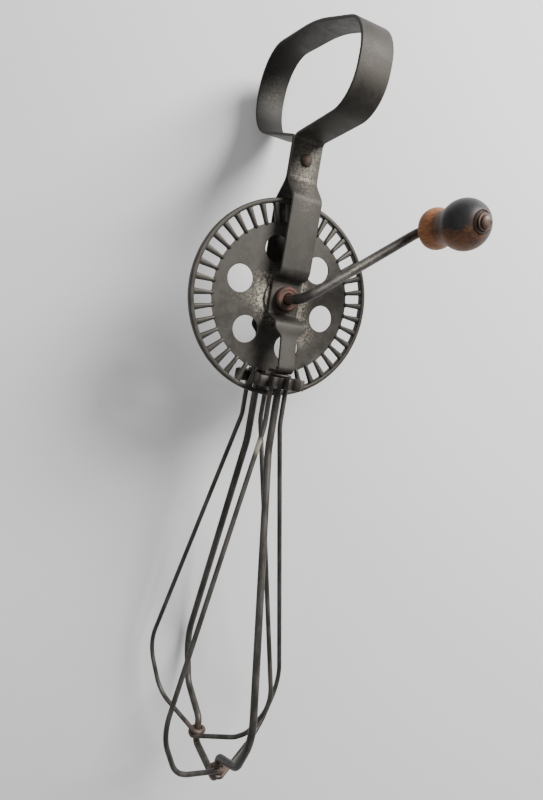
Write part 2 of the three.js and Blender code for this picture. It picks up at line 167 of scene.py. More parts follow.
class BeaterFinishes(bpy.types.PropertyGroup):
    steel: tint("Tarnished Steel", "Strap and wheel", 65, 62, 57)
    steel_dark: tint("Dark Tarnish", "The darker patches of the steel", 55, 52, 48)
    tin: tint("Left Tin", "Specks of tin that are left", 160, 154, 138)
    wire: tint("Wire", "Drawn wire", 76, 74, 71)
    rust: tint("Rust", "Rust at eyes and joints", 86, 65, 53)
    collar: tint("Hub Collar", "Oxidised collar of the hub", 88, 60, 50)
    wood: tint("Wood", "Bare wood of the knob", 162, 108, 68)
    wood_dark: tint("Wood Grain", "Dark grain of the wood", 104, 70, 48)
    lacquer: tint("Lacquer", "Worn black lacquer", 30, 29, 31)


class BeaterStageSettings(bpy.types.PropertyGroup):
    surface: tint("Surface", "The pale surface that the beater lies on", 232, 231, 231)
    key: bpy.props.FloatProperty(
        name="Key Light", description="Power of the soft light", default=20.0, min=0.0, unit="POWER")
    sky: bpy.props.FloatProperty(name="Sky", description="Strength of the pale surround", default=0.40, min=0.0)


# ---------------------------------------------------------------- node graphs as expressions


class Value:
    """A socket that takes part in sums."""

    def __init__(self, graph, socket):
        self.graph = graph
        self.socket = socket

    def joined(self, operation, first, second):
        return self.graph.node("ShaderNodeMath", {"operation": operation}, {0: first, 1: second})

    def __add__(self, other):
        return self.joined("ADD", self, other)

    __radd__ = __add__

    def __sub__(self, other):
        return self.joined("SUBTRACT", self, other)

    def __rsub__(self, other):
        return self.joined("SUBTRACT", other, self)

    def __mul__(self, other):
        return self.joined("MULTIPLY", self, other)

    __rmul__ = __mul__

    def __rtruediv__(self, other):
        return self.joined("DIVIDE", other, self)


class Graph:
    """A node tree in which each call adds one node."""

    def __init__(self, tree):
        self.tree = tree

    def node(self, kind, settings=None, values=None, output=0):
        made = self.tree.nodes.new(kind)
        for label, setting in (settings or {}).items():
            setattr(made, label, setting)
        for label, value in (values or {}).items():
            if isinstance(value, Value):
                self.tree.links.new(value.socket, made.inputs[label])
            else:
                made.inputs[label].default_value = value
        return Value(self, made.outputs[output]) if made.outputs else made


class Paint(Graph):
    """A material whose look depends on the place of each point."""

    def __init__(self, name):
        self.material = bpy.data.materials.new(name)
        self.material.use_nodes = True
        super().__init__(self.material.node_tree)
        self.tree.nodes.clear()
        self.place = self.node("ShaderNodeTexCoord", output="Object")

    def stretched(self, scale):
        return self.node("ShaderNodeMapping", {"vector_type": "TEXTURE"}, {
            "Vector": self.place, "Scale": tuple(1 / part for part in scale)})

    def noise(self, scale, detail=3.0, rough=0.55, place=None, warp=0.0):
        return self.node("ShaderNodeTexNoise", {}, {
            "Vector": place or self.place, "Scale": scale, "Detail": detail, "Roughness": rough, "Distortion": warp})

    def cells(self, scale):
        return self.node("ShaderNodeTexVoronoi", {"feature": "F1"}, {"Vector": self.place, "Scale": scale})

    def rise(self, value, low, high):
        return self.node("ShaderNodeMapRange", {"interpolation_type": "SMOOTHSTEP"}, {
            "Value": value, "From Min": low, "From Max": high})

    def part(self, vector, axis):
        return self.node("ShaderNodeSeparateXYZ", {}, {"Vector": vector}, axis)

    def offset(self, centre, keep=(1.0, 1.0, 1.0)):
        moved = self.node("ShaderNodeVectorMath", {"operation": "SUBTRACT"}, {0: self.place, 1: tuple(centre)})
        return self.node("ShaderNodeVectorMath", {"operation": "MULTIPLY"}, {0: moved, 1: keep})

    def away(self, centre, keep=(1.0, 1.0, 1.0)):
        return self.node("ShaderNodeVectorMath", {"operation": "LENGTH"}, {0: self.offset(centre, keep)}, "Value")

    def close(self, centre, inside, outside, keep=(1.0, 1.0, 1.0)):
        return 1 - self.rise(self.away(centre, keep), inside, outside)

    def mix(self, share, first, second):
        def colour(value):
            return value if isinstance(value, Value) else (*value[:3], 1.0)

        return self.node("ShaderNodeMix", {"data_type": "RGBA"}, {0: share, 6: colour(first), 7: colour(second)}, 2)

    def done(self, values, height=None, depth=0.0002, strength=0.35):
        if height is not None:
            values = {**values, "Normal": self.node("ShaderNodeBump", {}, {
                "Strength": strength, "Distance": depth, "Height": height})}
        shader = self.node("ShaderNodeBsdfPrincipled", {}, values)
        self.node("ShaderNodeOutputMaterial", {}, {"Surface": shader})
        return self.material


class Grower(Graph):
    """A geometry node tree with named inputs."""

    def __init__(self, name, inputs):
        group = bpy.data.node_groups.new(name, "GeometryNodeTree")
        super().__init__(group)
        group.interface.new_socket("Geometry", in_out="INPUT", socket_type="NodeSocketGeometry")
        self.identifiers = {
            label: group.interface.new_socket(label, in_out="INPUT", socket_type="NodeSocket" + kind).identifier
            for label, kind in {**inputs, "Material": "Material"}.items()
        }
        group.interface.new_socket("Geometry", in_out="OUTPUT", socket_type="NodeSocketGeometry")
        self.start = group.nodes.new("NodeGroupInput")

    def given(self, label):
        return Value(self, self.start.outputs[label])

    def spun(self, shape, count, turn=0.0):
        """Copies of a shape at equal steps round the Z axis, as real geometry."""
        points = self.node("GeometryNodePoints", {}, {"Count": count})
        angle = self.node("GeometryNodeInputIndex") * (2 * math.pi / count) + turn
        copies = self.node("GeometryNodeInstanceOnPoints", {}, {
            "Points": points, "Instance": shape,
            "Rotation": self.node("ShaderNodeCombineXYZ", {}, {"Z": angle})})
        return self.node("GeometryNodeRealizeInstances", {}, {"Geometry": copies})

    def gathered(self, shapes):
        made = self.tree.nodes.new("GeometryNodeJoinGeometry")
        for shape in reversed(shapes):
            self.tree.links.new(shape.socket, made.inputs[0])
        return Value(self, made.outputs[0])

    def finish(self, shape):
        solid = self.node("GeometryNodeRealizeInstances", {}, {"Geometry": shape})
        smooth = self.node("GeometryNodeSetShadeSmooth", {}, {"Geometry": solid})
        painted = self.node("GeometryNodeSetMaterial", {}, {"Geometry": smooth, "Material": self.given("Material")})
        self.node("NodeGroupOutput", {}, {0: painted})
        return self


# ---------------------------------------------------------------- meshes


def object_from(name, points, edges, faces):
    mesh = bpy.data.meshes.new(name)
    mesh.from_pydata([tuple(point) for point in points], edges, faces)
    mesh.update()
    made = bpy.data.objects.new(name, mesh)
    bpy.context.scene.collection.objects.link(made)
    return made


def settled(source, name):
    """A plain mesh object with what the source's modifiers make."""
    bpy.context.view_layer.update()
    graph = bpy.context.evaluated_depsgraph_get()
    mesh = bpy.data.meshes.new_from_object(source.evaluated_get(graph))
    bpy.data.objects.remove(source)
    mesh.name = name
    made = bpy.data.objects.new(name, mesh)
    bpy.context.scene.collection.objects.link(made)
    return made


def grown(name, source, grower, values):
    """What a geometry node tree makes of a source object."""
    modifier = source.modifiers.new("grower", "NODES")
    modifier.node_group = grower.tree
    for label, value in values.items():
        modifier[grower.identifiers[label]] = value
    return settled(source, name)


def smoothed(piece, angle=math.radians(38)):
    """Smooth shading with sharp edges past an angle."""
    piece.data.shade_smooth()
    piece.data.set_sharp_from_angle(angle=angle)
    return piece


def joined(name, parts):
    """Several objects as one mesh."""
    made = bmesh.new()
    for part in parts:
        made.from_mesh(part.data)
    mesh = bpy.data.meshes.new(name)
    made.to_mesh(mesh)
    made.free()
    for part in parts:
        bpy.data.objects.remove(part)
    piece = bpy.data.objects.new(name, mesh)
    bpy.context.scene.collection.objects.link(piece)
    return piece


def painted(piece, material):
    piece.data.materials.clear()
    piece.data.materials.append(material)
    for face in piece.data.polygons:
        face.material_index = 0
    return piece


def handed(piece, body, slot, *nodes):
    """Gives a finished piece to the frame."""
    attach(piece, body)
    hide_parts(*nodes)


def filleted(corners, radii, steps):
    """A line of corners with an arc of the given radius at each inner corner."""
    path = [corners[0].copy()]
    for corner, before, after, radius in zip(corners[1:-1], corners, corners[2:], radii):
        back = (before - corner).normalized()
        ahead = (after - corner).normalized()
        half = back.angle(ahead) / 2
        centre = corner + (back + ahead).normalized() * (radius / math.sin(half))
        start = corner + back * (radius / math.tan(half)) - centre
        end = corner + ahead * (radius / math.tan(half)) - centre
        sweep = math.pi - 2 * half
        for step in range(steps + 1):
            share = step / steps
            arm = start * math.sin((1 - share) * sweep) + end * math.sin(share * sweep)
            path.append(centre + arm / math.sin(sweep))
    path.append(corners[-1].copy())
    return path


def softened(outline, radius, steps=3):
    """A closed outline with its corners rounded."""
    corners = [Vector((x, y, 0.0)) for x, y in outline]
    soft = []
    for index, corner in enumerate(corners):
        before, after = corners[index - 1], corners[(index + 1) % len(corners)]
        half = (before - corner).angle(after - corner) / 2
        reach = min((before - corner).length, (after - corner).length) * 0.45
        round_off = min(radius, reach * math.tan(half))
        soft += filleted([before, corner, after], [round_off], steps)[1:-1]
    return [(point.x, point.y) for point in soft]


def oblong(half_wide, half_high):
    return [(-half_wide, -half_high), (half_wide, -half_high), (half_wide, half_high), (-half_wide, half_high)]


def turned(name, section, segments=64):
    """A turned solid about Z from a closed section of (radius, height); points on the axis become poles."""
    points, rows = [], []
    for radius, height in section:
        if radius < 1e-7:
            points.append((0.0, 0.0, height))
            rows.append([len(points) - 1] * segments)
        else:
            rows.append(list(range(len(points), len(points) + segments)))
            for step in range(segments):
                angle = 2 * math.pi * step / segments
                points.append((radius * math.cos(angle), radius * math.sin(angle), height))
    faces = []
    for index, row in enumerate(rows):
        above = rows[(index + 1) % len(rows)]
        for step in range(segments):
            after = (step + 1) % segments
            face = list(dict.fromkeys([row[step], row[after], above[after], above[step]]))
            if len(face) > 2:
                faces.append(face)
    piece = object_from(name, points, [], faces)
    outward(piece)
    return piece


def outward(piece):
    """Turns every face of a closed mesh outwards."""
    mesh = bmesh.new()
    mesh.from_mesh(piece.data)
    bmesh.ops.remove_doubles(mesh, verts=mesh.verts, dist=1e-7)
    bmesh.ops.recalc_face_normals(mesh, faces=mesh.faces)
    mesh.to_mesh(piece.data)
    mesh.free()
    return piece


def lofted(name, outlines):
    """A closed solid through outlines that have the same number of points."""
    count = len(outlines[0])
    points = [point for outline in outlines for point in outline]
    faces = [list(range(count))[::-1], [len(points) - count + step for step in range(count)]]
    for row in range(len(outlines) - 1):
        for step in range(count):
            after = (step + 1) % count
            low = row * count
            faces.append([low + step, low + after, low + count + after, low + count + step])
    return outward(object_from(name, points, [], faces))


def ring_section(inner, outer, low, high, radius):
    return softened([(inner, low), (outer, low), (outer, high), (inner, high)], radius)


FORWARD = Matrix.Rotation(math.pi / 2, 4, "X")


def on_axle(piece):
    """Stands a piece turned about Z on the wheel's axle, heights towards the front."""
    piece.data.transform(Matrix.Translation(HUB) @ FORWARD)
    return piece


def dasher_place(side):
    """Carries a shape round an upright axis through the wheel's axis onto a dasher's leaning axis."""
    joint = JOINTS[side + "_dasher_turn"]
    place = Vector(joint["pos_m"])
    lean = Vector((0, 0, 1)).rotation_difference(Vector(joint["axis"])).to_matrix().to_4x4()
    return Matrix.Translation(place) @ lean @ Matrix.Translation((0, 0, HUB.z - place.z))


# ---------------------------------------------------------------- finishes


def tarnished(name, finishes, colour, spots=(), bare=(), inner=None, rusts=(), painted_shade=(),
              grain=(1.0, 1.0, 1.0), shine=0.5):
    """Old tinned steel: mottled tarnish, fine scratches, bright tin left in places and rust in others. Spots given as
    bare are painted highlights in tin's colour, the side marked by inner gets painted shade and soot, and the patches
    in the last list get painted shade.
    """
    paint = Paint(name)
    along = paint.stretched(grain)
    broad = paint.noise(42.0, 3.0)
    mottle = paint.noise(240.0, 6.0, 0.68, along)
    fine = paint.noise(1700.0, 3.0, 0.6, along)
    flecks = paint.noise(1300.0, 4.0, 0.7, warp=0.8)
    pits = paint.rise(paint.cells(620.0), 0.0, 0.22)
    tarnish = paint.rise(mottle * 0.75 + broad * 0.25, 0.40, 0.62)
    base = paint.mix(tarnish, finishes.steel_dark, colour)
    base = paint.mix(paint.rise(broad, 0.5, 0.75) * 0.07, base, finishes.rust)
    tin = paint.rise(flecks, 0.68, 0.76) * 0.5
    for centre, inside, outside, keep, amount in spots:
        patch = paint.close(centre, inside, outside, keep)
        tin = tin + patch * (paint.rise(flecks + patch * 0.07, 0.46, 0.66) * 0.8 + 0.2 * mottle) * amount
    # Painted highlight: spots given as bare are brightened to tin's colour.
    for centre, inside, outside, amount in bare:
        tin = tin + paint.close(centre, inside, outside) * amount
    tin = paint.rise(tin, 0.0, 1.0)
    base = paint.mix(tin, base, finishes.tin)
    rust = 0.0
    for centre, inside, outside, amount in rusts:
        rust = paint.close(centre, inside, outside) * paint.rise(mottle, 0.28, 0.55) * amount + rust
    metal = 0.66 - tarnish * 0.12
    if rusts:
        rust = paint.rise(rust, 0.0, 1.0)
        base = paint.mix(rust, base, finishes.rust)
        metal = metal - rust * 0.5
    if inner is not None:
        # Painted shade and soot: the marked inner side of the handle is darkened towards near black.
        side = paint.node("ShaderNodeAttribute", {"attribute_name": inner}, output="Fac")
        base = paint.mix(side * 0.78, base, (0.018, 0.017, 0.016))
    # Painted shade: each listed patch darkens the steel towards near black, as in the gaps between a pinion's teeth.
    for centre, inside, outside, keep, amount in painted_shade:
        base = paint.mix(paint.close(centre, inside, outside, keep) * amount, base, (0.014, 0.012, 0.010))
    base = paint.mix((1 - pits) * 0.5, base, (0.03, 0.028, 0.025))
    rough = shine + tarnish * 0.12 + fine * 0.16 - tin * 0.08
    return paint.done(
        {"Base Color": base, "Metallic": metal, "Roughness": rough},
        mottle * 0.55 + fine * 0.25 + pits * 0.3 + tin * 0.25, 0.00022, 0.45)


def knob_finish(finishes):
    """Turned wood with worn black lacquer on the ball and bare orange-brown wood on the collar."""
    paint = Paint("lacquered_wood")
    base_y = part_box("knob")[1].y
    offset = paint.offset((KNOB_CENTRE.x, base_y, KNOB_CENTRE.z))
    out = paint.part(offset, "Y") * -1000.0
    drop = paint.part(offset, "Z") * -1000.0
    left = paint.part(offset, "X") * -1000.0
    grain = paint.noise(1150.0, 4.0, 0.6, paint.stretched((1.0, 0.12, 1.0)), 0.3)
    rings = paint.noise(1500.0, 2.0, 0.5, paint.stretched((0.25, 1.0, 0.25)))
    blotch = paint.noise(150.0, 4.0, 0.6)
    wood = paint.mix(paint.rise(grain, 0.22, 0.72), finishes.wood_dark, finishes.wood)
    wood = paint.mix(paint.rise(blotch, 0.40, 0.75) * 0.5, wood, finishes.wood_dark)
    # Painted shade at the neck: from 4.5 mm to 11 mm out from the knob's base the wood darkens towards deep brown.
    wood = paint.mix(paint.rise(out, 4.5, 11.0) * 0.55, wood, (0.07, 0.026, 0.014))
    # Painted shade: a thin dark ring at the neck's narrowest point, 8.2 mm out.
    groove_shade = 1 - paint.rise(paint.node("ShaderNodeMath", {"operation": "ABSOLUTE"}, {0: out - 8.2}), 0.0, 0.9)
    wood = paint.mix(groove_shade * 0.28, wood, (0.02, 0.012, 0.008))
    covered = paint.rise(out + (blotch - 0.5) * 5.0, 6.0, 14.5)
    worn = paint.rise(drop * 0.085 + left * 0.02 + (blotch - 0.5) * 1.2 + (grain - 0.5) * 0.35, 0.15, 0.85)
    end = paint.rise(out, 24.6, 26.2) * 0.25
    lacquer = covered * (1 - paint.rise(worn * 0.88 + end, 0.0, 1.0))
    scuffs = paint.rise(paint.noise(1100.0, 4.0, 0.7), 0.62, 0.74) * 0.3
    dark = paint.mix(paint.rise(blotch, 0.35, 0.7) * 0.5 + scuffs, finishes.lacquer, (0.032, 0.032, 0.034))
    base = paint.mix(lacquer, wood, dark)
    base = paint.mix(end * paint.rise(rings, 0.45, 0.6) * 0.5, base, (0.03, 0.02, 0.015))
    rough = 0.52 - lacquer * 0.08 + scuffs * 0.5 + rings * 0.08
    return paint.done(
        {"Base Color": base, "Metallic": 0.0, "Roughness": rough, "Coat Weight": lacquer * 0.12 + 0.04,
         "Coat Roughness": 0.4, "Specular IOR Level": 0.25},
        grain * 0.3 + rings * 0.35 + lacquer * 0.3 + blotch * 0.2, 0.00025, 0.4)


def surface_finish(settings):
    """A pale matt surface, seen from its front only."""
    paint = Paint("pale_surface")
    tone = paint.noise(6.0, 2.0) * 0.5 + paint.noise(220.0, 3.0) * 0.08
    base = paint.mix(tone * 0.06, settings.surface, (0.55, 0.55, 0.56))
    bump = paint.node("ShaderNodeBump", {}, {
        "Strength": 0.08, "Distance": 0.0004, "Height": paint.noise(400.0, 3.0)})
    shader = paint.node("ShaderNodeBsdfPrincipled", {}, {"Base Color": base, "Roughness": 0.7, "Normal": bump})
    clear = paint.node("ShaderNodeBsdfTransparent")
    back = paint.node("ShaderNodeNewGeometry", output="Backfacing")
    paint.node("ShaderNodeOutputMaterial", {}, {
        "Surface": paint.node("ShaderNodeMixShader", {}, {0: back, 1: shader, 2: clear})})
    return paint.material


# ---------------------------------------------------------------- node trees


def wire_grower():
    """A round wire along the source's line."""
    grower = Grower("round_wire", {"Radius": "Float", "Sides": "Int"})
    line = grower.node("GeometryNodeMeshToCurve", {}, {"Mesh": grower.given("Geometry")})
    section = grower.node("GeometryNodeCurvePrimitiveCircle", {}, {
        "Resolution": grower.given("Sides"), "Radius": grower.given("Radius")})
    return grower.finish(grower.node("GeometryNodeCurveToMesh", {}, {
        "Curve": line, "Profile Curve": section, "Fill Caps": True}))


def round_grower(name):
    """Copies of the source at equal steps round the Z axis."""
    grower = Grower(name, {"Count": "Int"})
    return grower.finish(grower.spun(grower.given("Geometry"), grower.given("Count")))


def wheel_grower():
    """A rim, a plate with rounded windows and round holes, and the source as a rib between windows."""
    grower = Grower("pressed_wheel", {
        "Teeth": "Int", "Rim Radius": "Float", "Rim Width": "Float", "Rim Depth": "Float", "Rim Round": "Float",
        "Plate Radius": "Float", "Plate Thickness": "Float", "Window Middle": "Float", "Window Length": "Float",
        "Window Width": "Float", "Window Round": "Float", "Holes": "Int", "Hole Circle": "Float",
        "Hole Radius": "Float", "Hole Turn": "Float", "Bore": "Float"})
    given = grower.given

    def circle(radius, points):
        return grower.node("GeometryNodeCurvePrimitiveCircle", {}, {"Resolution": points, "Radius": radius})

    def rounded(width, height, radius, points):
        box = grower.node("GeometryNodeCurvePrimitiveQuadrilateral", {}, {"Width": width, "Height": height})
        return grower.node("GeometryNodeFilletCurve", {"mode": "POLY"}, {
            "Curve": box, "Count": points, "Radius": radius})

    def moved(shape, distance):
        place = grower.node("ShaderNodeCombineXYZ", {}, {"X": distance})
        return grower.node("GeometryNodeTransform", {}, {"Geometry": shape, "Translation": place})

    window = rounded(given("Window Length"), given("Window Width"), given("Window Round"), 4)
    window = moved(window, given("Window Middle"))
    hole = moved(circle(given("Hole Radius"), 48), given("Hole Circle"))
    outline = grower.gathered([
        circle(given("Plate Radius"), 160),
        grower.spun(window, given("Teeth")),
        grower.spun(hole, given("Holes"), given("Hole Turn")),
        circle(given("Bore"), 40)])
    sheet = grower.node("GeometryNodeFillCurve", {"mode": "TRIANGLES"}, {"Curve": outline})
    low = grower.node("GeometryNodeTransform", {}, {
        "Geometry": sheet,
        "Translation": grower.node("ShaderNodeCombineXYZ", {}, {"Z": given("Plate Thickness") * -0.5})})
    raised = grower.node("GeometryNodeExtrudeMesh", {}, {
        "Mesh": low, "Offset": (0.0, 0.0, 1.0), "Offset Scale": given("Plate Thickness"), "Individual": False})
    plate = grower.node("GeometryNodeMergeByDistance", {}, {
        "Geometry": grower.gathered([raised, grower.node("GeometryNodeFlipFaces", {}, {"Mesh": low})]),
        "Distance": 1e-7})
    rim = grower.node("GeometryNodeCurveToMesh", {}, {
        "Curve": circle(given("Rim Radius"), 160),
        "Profile Curve": rounded(given("Rim Width"), given("Rim Depth"), given("Rim Round"), 4)})
    half_pitch = math.pi / given("Teeth")
    ribs = grower.spun(given("Geometry"), given("Teeth"), half_pitch)
    return grower.finish(grower.gathered([plate, rim, ribs]))


# ---------------------------------------------------------------- the strap


def strap_centre():
    """The strap's middle line, as (0, across, up) from the wheel's axis, in metres."""
    half = [
        (6.4, TAB_LEVEL), (13.9, TAB_LEVEL), (10.6, -9.4), (2.4, -6.8), (2.4, 8.0),
        (7.9, 8.6), (7.9, 38.9), (0.75, 46.3), (0.75, 62.8),
    ]
    loop = [(-39.5, 64.8), (-40.5, 91.6), (-2.0, 104.6), (42.8, 109.1), (47.5, 75.5)]
    bends = [1.8, 2.2, 1.8, 1.2, 3.6, 4, 5, 2.2]
    loop_bends = [13, 16, 90, 16, 19]
    corners = [(-across, up) for across, up in half] + loop + half[::-1]
    corners = [Vector((0, across * MM, up * MM)) for across, up in corners]
    path = filleted(corners, [bend * MM for bend in bends + loop_bends + bends[::-1]], 10)
    ringed = [path[0]]
    for before, after in zip(path, path[1:]):
        pieces = max(1, math.ceil((after - before).length / (1.0 * MM)) if after.z < -9 * MM else 1)
        ringed += [before.lerp(after, step / pieces) for step in range(1, pieces + 1)]
    return ringed


def strap_mesh(sizes):
    """The bent strap with rounded edges; the attribute inner_soot_and_shade is 1 on the side that faces into the
    handle, which the steel's paint darkens with painted shade and soot.
    """
    centre = strap_centre()
    half_thick = sizes.thickness / 2
    points, inner, rows = [], [], []
    for index, point in enumerate(centre):
        along = (centre[min(index + 1, len(centre) - 1)] - centre[max(index - 1, 0)]).normalized()
        out = Vector((0, -along.z, along.y))
        narrow = min(max((-11.2 * MM - point.z) / (4.2 * MM), 0.0), 1.0)
        narrow = narrow * narrow * (3 - 2 * narrow)
        half_wide = (sizes.width + (sizes.foot_width - sizes.width) * narrow) / 2
        section = softened(oblong(half_wide, half_thick), sizes.edge)
        rows.append(range(len(points), len(points) + len(section)))
        # From 60 mm above the axis up, the handle's inner side is marked for painted shade and soot.
        above = min(max((point.z - 60 * MM) / (6 * MM), 0.0), 1.0)
        for wide, thick in section:
            points.append(HUB + point + Vector((wide, 0, 0)) + out * thick)
            inner.append(above if thick < 0 else 0.0)
    faces = [list(rows[0])[::-1], list(rows[-1])]
    for low, high in zip(rows, rows[1:]):
        for step in range(len(low)):
            after = (step + 1) % len(low)
            faces.append([low[step], low[after], high[after], high[step]])
    piece = object_from("strap_blank", points, [], faces)
    layer = piece.data.attributes.new("inner_soot_and_shade", "FLOAT", "POINT")
    layer.data.foreach_set("value", inner)
    return outward(piece)


def bored(piece, name, cutters):
    """Cuts round holes, each given by its centre, radius, half length and whether it is upright."""
    for centre, radius, reach, upright in cutters:
        drill = turned("drill", [(0, -reach), (radius, -reach), (radius, reach), (0, reach)], 40)
        drill.data.transform(Matrix.Translation(centre) @ (Matrix.Identity(4) if upright else FORWARD))
        cut = piece.modifiers.new("cut", "BOOLEAN")
        cut.operation = "DIFFERENCE"
        cut.solver = "EXACT"
        cut.object = drill
        drill.hide_render = True
    drills = [modifier.object for modifier in piece.modifiers]
    made = settled(piece, name)
    for drill in drills:
        bpy.data.objects.remove(drill)
    return made


class BEATER_OT_strap(bpy.types.Operator):
    """Bends the strap into the handle, the shank and the two legs"""
    bl_idname = "beater.strap"
    bl_label = "Strap"

    def execute(self, context):
        sizes, finishes = context.scene.beater_strap, context.scene.beater_finishes
        rivet_place = (Vector(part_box("shank_rivet")[0]) + Vector(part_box("shank_rivet")[1])) / 2
        cutters = [(rivet_place, RIVET_RADIUS + PLAY, 4 * MM, False), (HUB, HUB_HOLE, 12 * MM, False)]
        for side in SIDES:
            place = Vector(JOINTS[side + "_dasher_turn"]["pos_m"])
            tab = Vector((place.x, place.y, HUB.z + TAB_LEVEL * MM))
            cutters.append((tab, sizes_of(context).frame_radius + PLAY, 3 * MM, True))
        strap = smoothed(bored(strap_mesh(sizes), "strap", cutters))
        paint = tarnished(
            "strap_steel", finishes, finishes.steel,
            spots=[
                (rivet_place, 3 * MM, 13 * MM, (1.0, 0.6, 0.7), 0.35),
                (HUB + Vector((0, 0, 40 * MM)), 2 * MM, 14 * MM, (1.4, 0.5, 0.8), 0.28),
                (HUB + Vector((0, 45 * MM, 95 * MM)), 4 * MM, 17 * MM, (1, 1, 1), 0.42),
                (HUB, 2 * MM, 12 * MM, (1, 0.6, 1), 0.35),
            ],
            # The handle's inner side gets painted shade and soot.
            inner="inner_soot_and_shade",
            rusts=[(HUB + Vector((0, 0, -28 * MM)), 6 * MM, 18 * MM, 0.4)],
            grain=(1.0, 1.0, 0.75))
        handed(painted(strap, paint), "frame", "strap_steel", "frame_band")

        front, back = nearest("shank_rivet")
        reach, high = (back - front) / 2, 1.1 * MM
        grip = reach - high
        head = sizes.rivet
        angles = [step * math.pi / 12 for step in range(6)]
        dome = [(head * math.cos(angle), grip + high * (0.25 + 0.75 * math.sin(angle))) for angle in angles]
        upper = [(RIVET_RADIUS, grip), (head, grip), *dome, (0.0, grip + high)]
        section = [(radius, -height) for radius, height in reversed(upper)] + upper
        rivet = turned("shank_rivet_pin", section, 40)
        rivet.data.transform(Matrix.Translation(rivet_place) @ FORWARD)
        worn = tarnished("rivet_steel", finishes, finishes.steel, spots=[(rivet_place, 0, 6 * MM, (1, 1, 1), 0.3)],
                         rusts=[(rivet_place, 2 * MM, 7 * MM, 0.9)])
        handed(painted(smoothed(rivet), worn), "frame", "strap_steel", "shank_rivet")
        return {"FINISHED"}


def sizes_of(context):
    return context.scene.beater_wires


# ---------------------------------------------------------------- the wheel and its hub


class BEATER_OT_wheel(bpy.types.Operator):
    """Presses the toothed wheel with its ribs, windows and holes"""
    bl_idname = "beater.wheel"
    bl_label = "Wheel"

    def execute(self, context):
        sizes, finishes = context.scene.beater_wheel, context.scene.beater_finishes
        stations = [
            (28.9, 0.55, 0.30), (29.5, 0.8, 0.8), (30.1, 0.88, 1.0), (31.0, 0.95, 1.0),
            (36.2, 1.3, 1.0), (37.0, 1.42, 0.95), (37.7, 1.6, 0.85)]
        outlines = []
        for radius, wide, deep in stations:
            half_wide, half_deep = sizes.rib_width / 2 * wide, sizes.rib_half * deep
            outline = softened(oblong(half_wide, half_deep), 0.5 * MM, 2)
            outlines.append([(radius * MM, across, up) for across, up in outline])
        rib = lofted("rib", outlines)
        paint = tarnished(
            "wheel_steel", finishes, finishes.steel,
            spots=[
                (HUB, 7 * MM, 16 * MM, (1, 0, 1), 0.95),
                (HUB + Vector((10 * MM, 0, -12 * MM)), 3 * MM, 11 * MM, (1, 0, 1), 0.55),
                (HUB + Vector((22 * MM, 0, -24 * MM)), 2 * MM, 9 * MM, (1, 0, 1), 0.30),
                (HUB + Vector((-14 * MM, 0, 2 * MM)), 3 * MM, 14 * MM, (1, 0, 1), 0.30),
            ],
            shine=0.42)
        outer = sizes.rim_inner + sizes.rim_round
        window_end = sizes.rim_inner + 0.1 * MM
        wheel = grown("pressed_wheel", rib, wheel_grower(), {
            "Teeth": sizes.teeth,
            "Rim Radius": (sizes.radius + sizes.rim_inner) / 2,
            "Rim Width": sizes.radius - sizes.rim_inner,
            "Rim Depth": 2 * sizes.rim_half,
            "Rim Round": sizes.rim_round,
            "Plate Radius": outer,
            "Plate Thickness": 2 * sizes.plate_half,
            "Window Middle": (sizes.window_inner + window_end) / 2,
            "Window Length": window_end - sizes.window_inner,
            "Window Width": sizes.window_width,
            "Window Round": sizes.window_round,
            "Holes": sizes.hole_count,
            "Hole Circle": sizes.hole_circle,
            "Hole Radius": sizes.hole_radius,
            "Hole Turn": sizes.hole_turn,
            "Bore": sizes.bore,
            "Material": paint,
        })
        wheel.data.transform(Matrix.Rotation(sizes.turn, 4, "Z"))
        on_axle(wheel)
        handed(smoothed(wheel), "drive", "wheel_steel", "gear_wheel")
        return {"FINISHED"}


